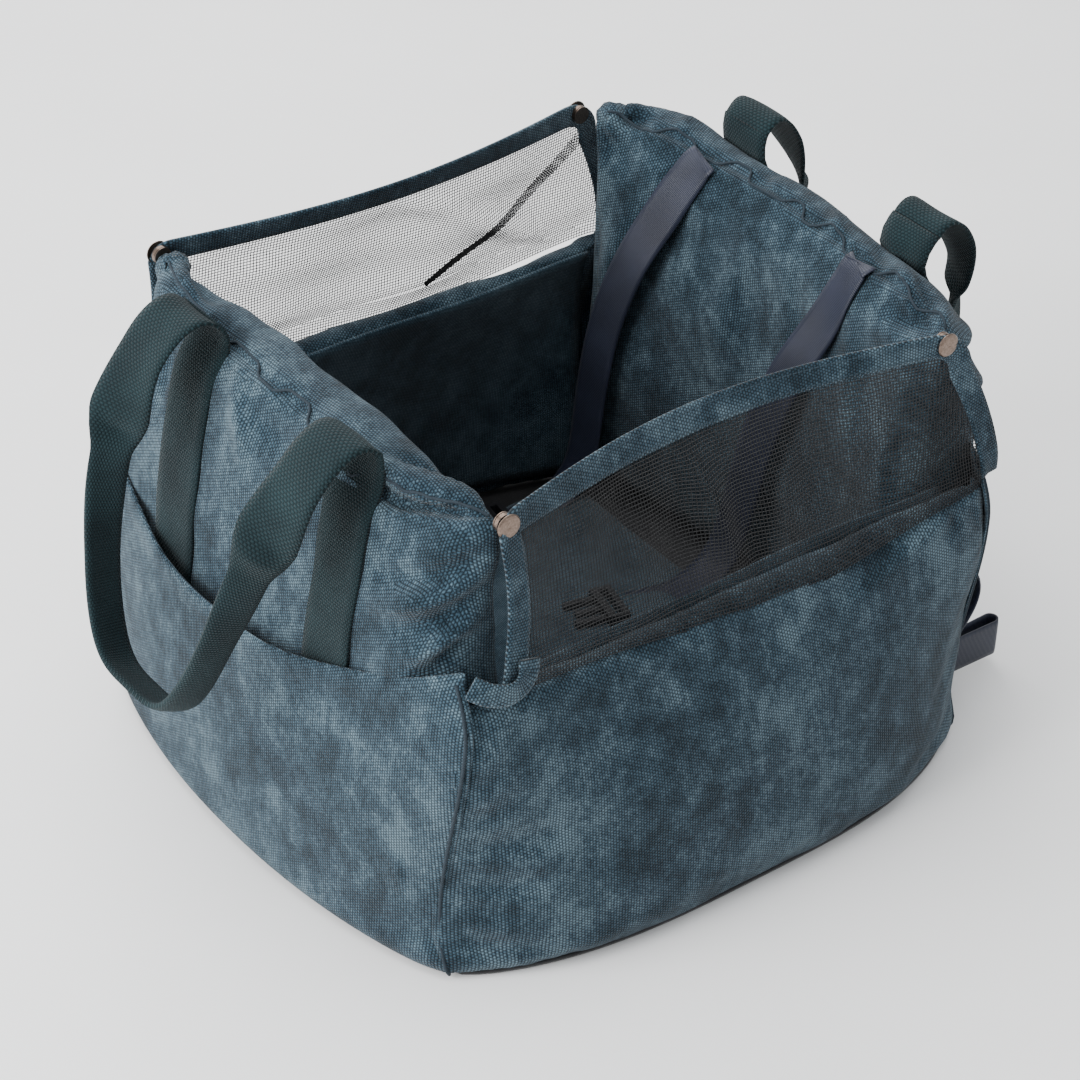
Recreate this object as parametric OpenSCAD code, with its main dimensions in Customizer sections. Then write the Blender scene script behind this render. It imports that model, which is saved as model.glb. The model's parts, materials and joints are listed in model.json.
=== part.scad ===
// Open-top pet carrier bag: two padded side walls, soft lower panels front and back,
// a snap-fastened mesh flap above each panel, two webbing handles and two tether straps.
// Millimetres. +X runs along the mesh front, +Y to the back, +Z up. Origin: centre of the base.

/* [Body] */
// How far the left pocket reaches from the middle of the bag
left_out = 228; // [215:1:240]
// How far the right pocket reaches from the middle of the bag
right_out = 222; // [208:1:235]
// Depth across the front and back panels at their fullest
body_d = 416; // [390:1:440]
// Height of the padded side walls
wall_h = 290; // [284:1:296]
// Height where the lower panels end and the mesh begins
panel_h = 190; // [184:1:196]
// Depth of a side wall above the lower panels
wall_d = 320; // [314:2:326]
// Middle of the bag to the left wall's cabin face
left_in = 140; // [136:1:144]
// Middle of the bag to the right wall's cabin face at mid-length
right_in = 158; // [154:1:160]
// Thickness of the fabric layers
cloth_t = 2; // [1.6:0.1:2.2]
// Thickness of the foam in the lower panels
panel_foam_t = 12; // [8:1:14]
// Depth of the side pockets at their mouth
pocket_gap = 12; // [6:0.5:16]
// Height of the pocket mouth at its lowest point
pocket_h = 162; // [150:2:170]

/* [Floor] */
// Thickness of the bottom fabric
base_t = 3; // [2:0.5:4]
// Thickness of the stiff base board
board_t = 4; // [3:0.5:5]
// Thickness of the floor pad
pad_t = 20; // [16:1:22]

/* [Mesh flaps] */
// Height of a mesh flap above the lower panel
flap_h = 99; // [94:1:100]
// How far the middle of the flap's top edge leans into the cabin
flap_bow = 28; // [16:1:30]
// Width of the fabric binding round a flap
binding_w = 14; // [12:1:16]
// Thickness of the binding
binding_t = 2.4; // [2:0.2:3]
// Thickness of the net
net_t = 1; // [0.8:0.1:1.2]

/* [Snaps] */
// Radius of a snap cap
cap_r = 7; // [6:0.5:8]
// Radius of a snap stud
stud_r = 2; // [1.5:0.1:2.2]

/* [Handles] */
// Width of the handle webbing
handle_w = 38; // [34:1:40]
// Thickness of the handle webbing
handle_t = 2.2; // [1.8:0.1:2.4]
// Distance from the middle of the bag to each handle leg
handle_y = 75; // [70:1:80]
// How far the lowest point of a hanging handle lies below its pivot
handle_drop = 176; // [150:2:180]
// How far the hanging handles stand off from the middle of the bag
handle_out = 270; // [262:1:276]

/* [Tether straps] */
// Width of the grosgrain straps
tether_w = 25; // [20:1:26]
// Thickness of the grosgrain straps
tether_t = 1.5; // [1.2:0.1:1.6]

/* [Hidden] */
$fn = 96;

fabric = [0.27, 0.37, 0.44];
lining = [0.18, 0.25, 0.33];
foam = [0.85, 0.84, 0.78];
webbing = [0.12, 0.18, 0.19];
grosgrain = [0.15, 0.17, 0.25];
net = [0.05, 0.05, 0.05];
bronze = [0.55, 0.45, 0.38];
black = [0.06, 0.06, 0.07];

big = 1200;
// Each side wall: outer face at mid-length, its swell in plan and in elevation,
// cabin face at mid-length, its swell in plan (negative where the ends are thicker)
left = [left_out, 28, 30, left_in, 9];
right = [right_out, 30, 10, right_in, -32];
side_z = 30;
// Swell of the front and back faces, as arcs in plan and in elevation
end_half_w = 192;
end_plan_sag = 31;
end_z = 30;
end_elev_sag = 35;
end_plan_r = arc_r(end_half_w, end_plan_sag);
end_elev_r = arc_r(panel_h - end_z, end_elev_sag);
half_d = body_d / 2 - end_plan_sag;
// Swell of the wall's cabin face over its height
lens_sag = 8;
lens_elev_r = arc_r(wall_h / 2, lens_sag);
// Depth of each layer below the outer surface
panel_in = cloth_t + pocket_gap;
wall_in = panel_in + cloth_t;
hem_in = cloth_t + panel_foam_t;
end_in = hem_in + cloth_t;
floor_z = base_t + board_t;
pocket_mouth_r = arc_r(half_d, panel_h - pocket_h);
// Foot of the flat webbing, down inside the pocket
webbing_z = 110;
// Half sizes of the base board and the floor pad, and their corner radius
board_x = 182;
board_y = 164;
pad_x = 139;
pad_y = 158;
corner_r = 30;
fit = 0.3;
// Facets of the wide arcs
arc_fn = 400;

// Radius of the arc that rises by sag over half a chord
function arc_r(half, sag) = (half * half + sag * sag) / (2 * sag);
function unit(v) = v / norm(v);
// How far such an arc has fallen away at a distance along its chord
function fall(r, along) = r - sqrt(r * r - along * along);
function ramp(t) = let (c = min(max(t, 0), 1)) c * c * (3 - 2 * c);
function bezier(p, t) =
    pow(1 - t, 3) * p[0] + 3 * pow(1 - t, 2) * t * p[1] + 3 * (1 - t) * t * t * p[2] + pow(t, 3) * p[3];

module slab(z0, z1) translate([-big / 2, -big / 2, z0]) cube([big, big, z1 - z0]);
module depth(d, z0, z1) translate([-big / 2, -d / 2, z0]) cube([big, d, z1 - z0]);
module along_y() rotate([90, 0, 0]) translate([0, 0, -big / 2]) linear_extrude(big) children();
module along_x() rotate([90, 0, 90]) translate([0, 0, -big / 2]) linear_extrude(big) children();
module at_back() mirror([0, 1, 0]) children();
module at_right() mirror([1, 0, 0]) children();

// Everything inside a side face, drawn on the left and taken in by inset
module inside_side(w, inset) {
    plan_r = arc_r(half_d, w[1]);
    elev_r = arc_r(wall_h - side_z, w[2]);
    intersection() {
        translate([plan_r - w[0], 0, -big / 2]) cylinder(r = plan_r - inset, h = big, $fn = arc_fn);
        along_y() translate([elev_r - w[0], side_z]) circle(elev_r - inset, $fn = arc_fn);
    }
}
module inside_sides(inset) intersection() {
    inside_side(left, inset);
    at_right() inside_side(right, inset);
}

// Everything between the front and back faces, taken in by inset
module inside_front(inset) intersection() {
    translate([0, end_plan_r - body_d / 2, -big / 2]) rotate(90) cylinder(r = end_plan_r - inset, h = big, $fn = arc_fn);
    along_x() translate([end_elev_r - body_d / 2, end_z]) rotate(45) circle(end_elev_r - inset, $fn = arc_fn);
}
module inside_ends(inset) intersection() {
    inside_front(inset);
    at_back() inside_front(inset);
}

// Everything on the wall side of a cabin face, drawn on the left and taken in by inset
module behind_lens(w, inset) {
    face = w[3] + lens_sag;
    plan_r = arc_r(wall_d / 2, abs(w[4]));
    elev_r = lens_elev_r;
    if (w[4] > 0) intersection() {
        translate([-w[3] - plan_r, 0, -big / 2]) rotate(90) cylinder(r = plan_r - inset, h = big, $fn = arc_fn);
        along_y() translate([-w[3] - elev_r, wall_h / 2]) rotate(90) circle(elev_r - inset, $fn = arc_fn);
    } else union() {
        difference() {
            translate([-big, -big / 2, 0]) cube([big, big, wall_h]);
            translate([plan_r - face, 0, -1]) cylinder(r = plan_r + inset, h = big, $fn = arc_fn);
        }
        along_y() translate([-w[3] - elev_r, wall_h / 2]) rotate(90) circle(elev_r - inset, $fn = arc_fn);
    }
}

// Room that the left wall fills: to the end linings below, to its own end faces above
module wall_room(z0, z1, end_inset) {
    intersection() {
        inside_ends(end_in + fit);
        slab(z0, panel_h);
    }
    depth(wall_d - 2 * end_inset, panel_h, z1);
}

// ---- Base ----
module base_fabric() color(black) intersection() {
    inside_sides(0);
    inside_ends(0);
    slab(0, base_t);
}
// Plate with round corners, from its half sizes, standing on z
module plate(half_x, half_y, z, t) translate([0, 0, z]) linear_extrude(t) hull()
    for (x = [corner_r - half_x, half_x - corner_r], y = [corner_r - half_y, half_y - corner_r])
        translate([x, y]) circle(corner_r);
module base_board() color(black) plate(board_x, board_y, base_t, board_t);
module floor_pad() color(lining) plate(pad_x, pad_y, floor_z, pad_t);

// ---- Side wall, drawn on the left ----
module wall_foam(w) color(foam) intersection() {
    inside_side(w, wall_in + fit);
    behind_lens(w, cloth_t);
    wall_room(floor_z, wall_h - cloth_t, cloth_t);
}
module inner_panel(w) color(fabric) difference() {
    intersection() {
        inside_side(w, wall_in);
        behind_lens(w, 0);
        wall_room(floor_z, wall_h - cloth_t, cloth_t);
    }
    behind_lens(w, cloth_t);
}
module outer_panel(w) color(fabric) difference() {
    intersection() {
        inside_side(w, panel_in);
        behind_lens(w, 0);
        union() {
            intersection() {
                inside_ends(cloth_t);
                slab(base_t, panel_h);
            }
            depth(wall_d, panel_h, wall_h - cloth_t);
        }
    }
    intersection() {
        inside_side(w, wall_in);
        union() {
            slab(0, panel_h);
            depth(wall_d - 2 * cloth_t, 0, wall_h);
        }
    }
}
module top_strip(w) color(fabric) intersection() {
    inside_side(w, panel_in);
    behind_lens(w, 0);
    depth(wall_d, wall_h - cloth_t, wall_h);
}
module pocket(w) color(fabric) difference() {
    intersection() {
        inside_side(w, 0);
        inside_ends(cloth_t);
        slab(base_t, panel_h);
        translate([-big, -big / 2, 0]) cube([big, big, big]);
    }
    inside_side(w, cloth_t);
    along_x() translate([0, pocket_h + pocket_mouth_r]) circle(pocket_mouth_r, $fn = arc_fn);
}
module wall_webbing(w) color(webbing) for (y = [-1, 1]) difference() {
    intersection() {
        inside_side(w, panel_in - handle_t);
        translate([-big, y * handle_y - handle_w / 2, webbing_z]) cube([big, handle_w, pivot_z - 2.4 - webbing_z]);
    }
    inside_side(w, panel_in);
}

// ---- Lower panel, drawn at the front ----
module end_layer(a, b, side_inset, z0, z1) difference() {
    intersection() {
        inside_sides(side_inset);
        inside_front(a);
        translate([-big / 2, -big, z0]) cube([big, big, z1 - z0]);
    }
    inside_front(b);
}
module end_panel() color(fabric) end_layer(0, cloth_t, 0, base_t, panel_h - cloth_t);
module end_foam() color(foam) end_layer(cloth_t + fit, hem_in, wall_in + 1, floor_z, panel_h - cloth_t);
module end_lining() color(lining) end_layer(hem_in, end_in, wall_in + 1, floor_z, panel_h - cloth_t);
module end_hem() color(fabric) end_layer(0, end_in, wall_in + 1, panel_h - cloth_t, panel_h);

// ---- Mesh flap, drawn at the front ----
hinge_off = 3;
hinge_y = end_elev_sag - hinge_off - body_d / 2;
hinge_z = panel_h + 0.6;
flap_left = -166;
flap_right_low = 182;
flap_right_top = 144;
flap_lean = 10;
flap_lift = 0.6;
flap_steps = 24;
// Middle surface of the flap: u runs left to right, v bottom to top
function flap_x(u, v) = flap_left + u * (flap_right_low - (flap_right_low - flap_right_top) * pow(v, 1.6) - flap_left);
function flap_y(u, v) = hinge_y + flap_lean * v + flap_bow * sin(180 * u) * pow(v, 1.3);
function flap_z(v) = hinge_z + flap_lift + v * flap_h;
function flap_at(u, v, off) = [flap_x(u, v), flap_y(u, v) + off, flap_z(v)];

// Closed sheet between u0..u1 and v0..v1, t thick
module flap_sheet(u0, u1, v0, v1, t) {
    n = flap_steps;
    rows = [for (s = [-t / 2, t / 2]) [for (i = [0:n]) for (j = [0:4])
        flap_at(u0 + (u1 - u0) * i / n, v0 + (v1 - v0) * j / 4, s)]];
    m = (n + 1) * 5;
    faces = concat(
        [for (i = [0:n - 1], j = [0:3]) [i * 5 + j, i * 5 + j + 1, i * 5 + j + 6, i * 5 + j + 5]],
        [for (i = [0:n - 1], j = [0:3]) [m + i * 5 + j, m + i * 5 + j + 5, m + i * 5 + j + 6, m + i * 5 + j + 1]],
        [for (i = [0:n - 1]) [i * 5, i * 5 + 5, m + i * 5 + 5, m + i * 5]],
        [for (i = [0:n - 1]) [i * 5 + 4, m + i * 5 + 4, m + i * 5 + 9, i * 5 + 9]],
        [for (j = [0:3]) [j, m + j, m + j + 1, j + 1]],
        [for (j = [0:3]) [n * 5 + j, n * 5 + j + 1, m + n * 5 + j + 1, m + n * 5 + j]]);
    polyhedron(concat(rows[0], rows[1]), faces, convexity = 4);
}
edge_u = binding_w / (flap_right_low - flap_left);
edge_v = 1 - binding_w / flap_h;
module flap_mesh() color(net) flap_sheet(edge_u, 1 - edge_u, 0, edge_v, net_t);
module flap_binding() color(fabric) {
    flap_sheet(0, 1, edge_v, 1, binding_t);
    flap_sheet(0, edge_u, 0, edge_v, binding_t);
    flap_sheet(1 - edge_u, 1, 0, edge_v, binding_t);
}

// ---- Snaps: cap outside, socket inside, stud on the wall ----
snap_v = 0.93;
snap_u = [0.025, 0.975];
snap_gap = 0.4;
socket_r = 5.5;
socket_h = 2.4;
module at_snaps(off) for (u = snap_u)
    translate([flap_x(u, snap_v), flap_y(u, snap_v) + off, flap_z(snap_v)]) rotate([90, 0, 0])
        children();
module snap_caps() color(bronze) at_snaps(-binding_t / 2) rotate_extrude()
    polygon([[0, 0], [cap_r, 0], [cap_r, 0.5], [cap_r - 0.6, 1.2], [cap_r - 2, 1.5], [0, 1.6]]);
module snap_sockets() color(bronze) at_snaps(binding_t / 2 + socket_h) difference() {
    cylinder(r = socket_r, h = socket_h);
    translate([0, 0, -1]) cylinder(r = stud_r + snap_gap, h = socket_h + 0.4);
}
module snap_studs() color(bronze) for (u = snap_u) {
    y = flap_y(u, snap_v) + binding_t / 2 + socket_h + snap_gap;
    translate([flap_x(u, snap_v), -wall_d / 2, flap_z(snap_v)]) rotate([90, 0, 0]) {
        cylinder(r = socket_r, h = -wall_d / 2 - y);
        cylinder(r = stud_r, h = -wall_d / 2 - y + socket_h - 1);
    }
}

// ---- Webbing sweeps ----
// Flat band through points, with a width direction at each. A direction shorter than 1 narrows the band there
// and thickens it, as where webbing is folded double.
module band(points, widths, w, t) {
    n = len(points) - 1;
    rings = [for (i = [0:n])
        let (tangent = unit(points[min(i + 1, n)] - points[max(i - 1, 0)]))
        let (side = unit(widths[i] - (widths[i] * tangent) * tangent))
        let (up = cross(tangent, side), share = norm(widths[i]))
        for (c = [[-1, -1], [1, -1], [1, 1], [-1, 1]])
            points[i] + side * c[0] * w * share / 2 + up * c[1] * t / share / 2];
    faces = concat([[0, 1, 2], [0, 2, 3]], [[n * 4 + 2, n * 4 + 1, n * 4], [n * 4 + 3, n * 4 + 2, n * 4]],
        [for (i = [0:n - 1], k = [0:3]) [i * 4 + k, i * 4 + 4 + k, i * 4 + (k + 1) % 4]],
        [for (i = [0:n - 1], k = [0:3]) [i * 4 + 4 + k, i * 4 + 4 + (k + 1) % 4, i * 4 + (k + 1) % 4]]);
    polyhedron(rings, faces, convexity = 6);
}

// ---- Handle, drawn on the left, hanging outside the wall ----
pivot_z = wall_h + 7;
handle_steps = 56;
handle_lift = 18;
// Width of the folded grip as a share of the webbing's
grip_share = 0.58;
// Distance from the middle of the bag to a handle's pivot
function pivot_x(w) = w[0] - panel_in - max(w[2], 4.4) + handle_t / 2 + 0.2;
// Section of the hanging loop, away from the wall and up from its pivot
function handle_curve(out) = [[0, 0], [-24, handle_lift], [-out * 0.72, -10], [-out, -handle_drop]];
function handle_s(t) = 1 - abs(2 * t - 1);
function handle_point(w, t) =
    let (s = 90 * (0.014 + 0.986 * handle_s(t)), q = bezier(handle_curve(handle_out - pivot_x(w)), sin(s)))
    let (y = (t < 0.5 ? 1 : -1) * (handle_y + 8 * sin(2 * s)) * sqrt(cos(min(s, 89.9))))
    [q[0] - pivot_x(w), y, pivot_z + q[1]];
// The grip between the two legs is folded lengthwise
function handle_width(t) =
    let (a = 90 * ramp((handle_s(t) - 0.3) / 0.4), share = 1 - (1 - grip_share) * ramp((handle_s(t) - 0.45) / 0.1))
    share * unit([-0.9 * sin(a), cos(a), 0.43 * sin(a)]);
module handle(w) color(webbing) band(
    [for (i = [0:handle_steps]) handle_point(w, i / handle_steps)],
    [for (i = [0:handle_steps]) handle_width(i / handle_steps)], handle_w, handle_t);

// ---- Tether straps: sewn at the top of the right wall, hanging into the cabin ----
tether_x = right_in - 6;
tether_z = wall_h - 3;
// Height of a strap that lies on the floor pad
lie_z = floor_z + pad_t + 1.5;
rear_route = [[tether_x, 78, tether_z - 1], [tether_x - 4, 81, 272], [tether_x - 8, 90, 245], [tether_x - 12, 103, 215],
    [tether_x - 14, 116, 180], [tether_x - 17, 126, 145], [tether_x - 19, 131, 110],
    [tether_x - 21, 133, 78], [tether_x - 23, 134, 56], [tether_x - 29, 134, 40], [tether_x - 44, 133, lie_z + 0.4],
    [tether_x - 62, 130, lie_z], [tether_x - 84, 126, lie_z]];
front_route = [[tether_x, -66, tether_z - 1], [tether_x - 4, -64, 272], [tether_x - 8, -58, 245], [tether_x - 11, -46, 215],
    [tether_x - 12, -32, 180], [tether_x - 12, -20, 145], [tether_x - 12, -11, 110], [tether_x - 13, -5, 78],
    [tether_x - 16, -1, 56], [tether_x - 25, 2, 40], [tether_x - 42, 5, lie_z + 0.4], [tether_x - 62, 9, lie_z],
    [tether_x - 84, 14, lie_z]];
module tether(route) color(grosgrain) band(route, [for (p = route) [0, 1, 0]], tether_w, tether_t);
module rear_tether() tether(rear_route);
module front_tether() tether(front_route);

// Two halves of a side-release buckle, each on a strap end
buckle_w = 32;
buckle_h = 9;
module at_end(route, turn) translate([route[12][0] - 1, route[12][1], floor_z + pad_t + 0.4]) rotate([0, 0, turn]) children();
module rear_tether_buckle() color(black) at_end(rear_route, 170) translate([0.6, -buckle_w / 2, 0]) difference() {
    cube([38, buckle_w, buckle_h]);
    translate([14, 4, 2]) cube([30, buckle_w - 8, buckle_h - 4]);
    translate([18, -1, 1.5]) cube([10, buckle_w + 2, buckle_h - 3]);
    translate([4, 3, -1]) cube([5, buckle_w - 6, buckle_h + 2]);
}
module front_tether_buckle() color(black) at_end(front_route, 166) translate([0.6, -buckle_w / 2, 0]) {
    difference() {
        cube([14, buckle_w, buckle_h]);
        translate([4, 3, -1]) cube([5, buckle_w - 6, buckle_h + 2]);
    }
    for (y = [4, buckle_w - 8]) translate([14, y, 2.5]) cube([20, 4, 4]);
    translate([14, buckle_w / 2 - 2, 3]) cube([16, 4, 3]);
}

// ---- Right wall outside: a bowed strap and a loop tab ----
tab_y = -130;
tab_z = 8;
tab_gap = 7;
tab_reach = 36;
// Pocket face behind the tab, and the way that face runs
side_plan_r = arc_r(half_d, right[1]);
tab_x = right_out - fall(side_plan_r, tab_y);
tab_run = unit([-tab_y, sqrt(side_plan_r * side_plan_r - tab_y * tab_y), 0]);
strap_bow = 13;
strap_foot = tab_z + tether_w + 6;
strap_top = 104;
module loop_tab() color(grosgrain) translate([tab_x, tab_y, tab_z]) linear_extrude(tether_w) difference() {
    hull() {
        translate([-1, -tab_gap / 2 - 2]) square([2, tab_gap + 4]);
        translate([tab_reach, 0]) circle(tab_gap / 2 + 2);
    }
    hull() {
        translate([2, -tab_gap / 2]) square([2, tab_gap]);
        translate([tab_reach, 0]) circle(tab_gap / 2);
    }
}
module side_strap() color(grosgrain) band(
    [for (i = [0:12]) [tab_x + tether_t / 2 + strap_bow * sin(15 * i), tab_y,
        strap_foot + (strap_top - strap_foot) * i / 12]],
    [for (i = [0:12]) tab_run], tether_w, tether_t);

module left_wall_foam() wall_foam(left);
module left_outer_panel() outer_panel(left);
module left_inner_panel() inner_panel(left);
module left_top_strip() top_strip(left);
module left_pocket() pocket(left);
module left_handle() handle(left);
module left_wall_webbing() wall_webbing(left);
module right_wall_foam() at_right() wall_foam(right);
module right_outer_panel() at_right() outer_panel(right);
module right_inner_panel() at_right() inner_panel(right);
module right_top_strip() at_right() top_strip(right);
module right_pocket() at_right() pocket(right);
module right_handle() at_right() handle(right);
module right_wall_webbing() at_right() wall_webbing(right);
module front_panel() end_panel();
module front_panel_foam() end_foam();
module front_lining() end_lining();
module front_hem() end_hem();
module front_mesh() flap_mesh();
module front_mesh_binding() flap_binding();
module front_snap_caps() snap_caps();
module front_snap_sockets() snap_sockets();
module front_snap_studs() snap_studs();
module back_panel() at_back() end_panel();
module back_panel_foam() at_back() end_foam();
module back_lining() at_back() end_lining();
module back_hem() at_back() end_hem();
module back_mesh() at_back() flap_mesh();
module back_mesh_binding() at_back() flap_binding();
module back_snap_caps() at_back() snap_caps();
module back_snap_sockets() at_back() snap_sockets();
module back_snap_studs() at_back() snap_studs();

base_fabric();
base_board();
floor_pad();
left_wall_foam();
left_outer_panel();
left_inner_panel();
left_top_strip();
left_pocket();
right_wall_foam();
right_outer_panel();
right_inner_panel();
right_top_strip();
right_pocket();
front_panel();
front_panel_foam();
front_lining();
front_hem();
back_panel();
back_panel_foam();
back_lining();
back_hem();
front_mesh();
front_mesh_binding();
front_snap_caps();
front_snap_sockets();
front_snap_studs();
back_mesh();
back_mesh_binding();
back_snap_caps();
back_snap_sockets();
back_snap_studs();
left_handle();
left_wall_webbing();
right_handle();
right_wall_webbing();
rear_tether();
rear_tether_buckle();
front_tether();
front_tether_buckle();
side_strap();
loop_tab();
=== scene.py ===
"""Looks of the soft pet carrier bag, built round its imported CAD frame.

Shapes are worked out in millimetres in the frame's axes and turned into metres when a mesh is made:
+X runs along the front, +Y to the back, +Z up, with the origin under the middle of the base.
"""
import json
import math

import bpy
import numpy as np
from mathutils import Matrix, Vector
from mathutils.bvhtree import BVHTree


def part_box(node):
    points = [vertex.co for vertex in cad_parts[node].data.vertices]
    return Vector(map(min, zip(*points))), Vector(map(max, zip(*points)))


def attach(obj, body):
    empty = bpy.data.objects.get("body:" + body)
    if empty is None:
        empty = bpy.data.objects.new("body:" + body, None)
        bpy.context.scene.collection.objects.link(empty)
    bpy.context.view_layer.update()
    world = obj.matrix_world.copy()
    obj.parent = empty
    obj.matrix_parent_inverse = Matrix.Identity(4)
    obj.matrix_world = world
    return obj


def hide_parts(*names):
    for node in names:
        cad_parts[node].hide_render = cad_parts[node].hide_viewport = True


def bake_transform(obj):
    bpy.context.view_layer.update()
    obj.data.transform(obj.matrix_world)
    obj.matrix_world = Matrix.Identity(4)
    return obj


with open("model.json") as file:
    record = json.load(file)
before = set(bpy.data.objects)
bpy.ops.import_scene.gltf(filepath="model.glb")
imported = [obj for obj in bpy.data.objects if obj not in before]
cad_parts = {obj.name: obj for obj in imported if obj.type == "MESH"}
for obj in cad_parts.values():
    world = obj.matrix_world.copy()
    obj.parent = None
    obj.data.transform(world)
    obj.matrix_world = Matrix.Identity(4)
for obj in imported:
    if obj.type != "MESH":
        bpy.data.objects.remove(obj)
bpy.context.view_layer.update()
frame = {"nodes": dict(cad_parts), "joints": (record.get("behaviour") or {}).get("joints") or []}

MM = 0.001


def edge(node, side, axis):
    """One face of a CAD node's box in millimetres: side 0 is the lowest, 1 the highest."""
    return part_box(node)[side][axis] / MM


def joint_at(name):
    """A joint's place, in millimetres."""
    return next(np.array(j["pos_m"]) / MM for j in frame["joints"] if j["name"] == name)


# ---- Measures taken from the frame ----
POCKET_OUT = {-1: -edge("left_pocket", 0, 0), 1: edge("right_pocket", 1, 0)}
WALL_OUT = {-1: -edge("left_outer_panel", 0, 0), 1: edge("right_outer_panel", 1, 0)}
BODY_END = edge("back_panel", 1, 1)
PANEL_TOP = edge("front_hem", 1, 2)
PANEL_T = 15.0
WALL_TOP = edge("left_top_strip", 1, 2)
WALL_END = edge("left_top_strip", 1, 1)
FLOOR_Z = edge("floor_pad", 0, 2)
PAD_TOP = edge("floor_pad", 1, 2)
HINGE = joint_at("front_flap_fold")
FLAP_LOW = edge("front_mesh", 0, 2)
FLAP_H = edge("front_mesh_binding", 1, 2) - FLAP_LOW
FLAP_LEFT = edge("front_mesh_binding", 0, 0)
FLAP_RIGHT = edge("front_mesh_binding", 1, 0)
HANDLE_OUT = 270.0
HANDLE_W = 38.0
HANDLE_T = 2.2
HANDLE_Y = 75.0
STRAP_W = 25.0
STRAP_T = 1.5
BINDING_W = 14.0
NET_PITCH = 2.0
NET_R = 0.31
CLOTH_T = 2.0


# ---- Meshes ----
def mesh_object(name, verts, faces, uvs=None):
    """Object from points in millimetres; uvs are per point, in metres."""
    mesh = bpy.data.meshes.new(name)
    mesh.from_pydata((np.asarray(verts) * MM).tolist(), [], [list(map(int, f)) for f in faces])
    if uvs is not None:
        loops = np.zeros(len(mesh.loops), np.int32)
        mesh.loops.foreach_get("vertex_index", loops)
        layer = mesh.uv_layers.new(name="UVMap")
        layer.data.foreach_set("uv", np.asarray(uvs, np.float32)[loops].ravel())
    mesh.polygons.foreach_set("use_smooth", [True] * len(mesh.polygons))
    piece = bpy.data.objects.new(name, mesh)
    bpy.context.scene.collection.objects.link(piece)
    return piece


def unit(v):
    return v / np.maximum(np.linalg.norm(v, axis=-1, keepdims=True), 1e-9)


def surface_normals(grid):
    along, across = np.gradient(grid, axis=0), np.gradient(grid, axis=1)
    return unit(np.cross(along, across))


def sheet_mesh(name, grid, thick):
    """Closed sheet of a thickness about a grid of points, with UVs along its length and width."""
    grid = np.asarray(grid, float)
    n, m = grid.shape[:2]
    off = surface_normals(grid) * np.broadcast_to(thick, (n, m))[..., None] / 2
    verts = np.concatenate([(grid + off).reshape(-1, 3), (grid - off).reshape(-1, 3)])
    i, j = [a.ravel() for a in np.meshgrid(np.arange(n - 1), np.arange(m - 1), indexing="ij")]
    a = i * m + j
    top = np.stack([a, a + m, a + m + 1, a + 1], 1)
    rim = np.concatenate([np.arange(m), np.arange(1, n) * m + m - 1,
                          (n - 1) * m + np.arange(m - 2, -1, -1), np.arange(n - 2, 0, -1) * m])
    step = np.roll(rim, -1)
    under = n * m
    sides = np.stack([rim, step, step + under, rim + under], 1)
    u = np.concatenate([[0], np.cumsum(np.linalg.norm(np.diff(grid, axis=0), axis=2).mean(1))])
    v = np.concatenate([[0], np.cumsum(np.linalg.norm(np.diff(grid, axis=1), axis=2).mean(0))])
    uv = np.stack(np.meshgrid(u, v, indexing="ij"), -1).reshape(-1, 2) * MM
    return mesh_object(name, verts, [*top, *(top[:, ::-1] + under), *sides], np.concatenate([uv, uv]))


def band(name, centres, widths, width, thick, crown=0.0, across=9):
    """Flat webbing along a line, with its width direction at each point; width, thick and crown may vary."""
    centres = np.asarray(centres, float)
    n = len(centres)
    width, thick, crown = (np.broadcast_to(v, (n,)) for v in (width, thick, crown))
    tangent = unit(np.gradient(centres, axis=0))
    side = np.asarray(widths, float)
    side = unit(side - (side * tangent).sum(1, keepdims=True) * tangent)
    face = np.cross(tangent, side)
    s = np.linspace(-1, 1, across)
    grid = (centres[:, None] + side[:, None] * (s[None] * width[:, None] / 2)[..., None]
            + face[:, None] * (crown[:, None] * (1 - s * s)[None])[..., None])
    edge_t = thick[:, None] * (1 - 0.35 * np.abs(s) ** 8)[None]
    return sheet_mesh(name, grid, edge_t)


def tubes(name, lines, radius, sides=3, out=(0.0, -1.0, 0.0)):
    """Many thin closed tubes in one mesh, such as the threads of a net or a row of stitches."""
    verts, faces, start = [], [], 0
    turn = np.arange(sides) * 2 * math.pi / sides
    for line in lines:
        p = np.asarray(line, float)
        tangent = unit(np.gradient(p, axis=0))
        side = unit(np.cross(tangent, np.asarray(out)))
        up = np.cross(side, tangent)
        ring = p[:, None] + radius * (side[:, None] * np.cos(turn)[None, :, None]
                                      + up[:, None] * np.sin(turn)[None, :, None])
        verts.append(ring.reshape(-1, 3))
        i, k = [a.ravel() for a in np.meshgrid(np.arange(len(p) - 1), np.arange(sides), indexing="ij")]
        a, b = start + i * sides + k, start + i * sides + (k + 1) % sides
        faces += np.stack([a, b, b + sides, a + sides], 1).tolist()
        last = start + (len(p) - 1) * sides
        faces += [list(range(start + sides - 1, start - 1, -1)), list(range(last, last + sides))]
        start += len(p) * sides
    return mesh_object(name, np.concatenate(verts), faces)


def loft(name, loops):
    """Closed solid through plan loops of the same number of points, bottom to top."""
    loops = np.asarray(loops, float)
    n, m = loops.shape[:2]
    faces = []
    for i in range(n - 1):
        for k in range(m):
            a, b = i * m + k, i * m + (k + 1) % m
            faces.append([a, b, b + m, a + m])
    faces += [list(range(m))[::-1], [(n - 1) * m + k for k in range(m)]]
    return mesh_object(name, loops.reshape(-1, 3), faces)


def points_of(piece):
    co = np.zeros(len(piece.data.vertices) * 3, np.float32)
    piece.data.vertices.foreach_get("co", co)
    return co.reshape(-1, 3).astype(float) / MM


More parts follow.
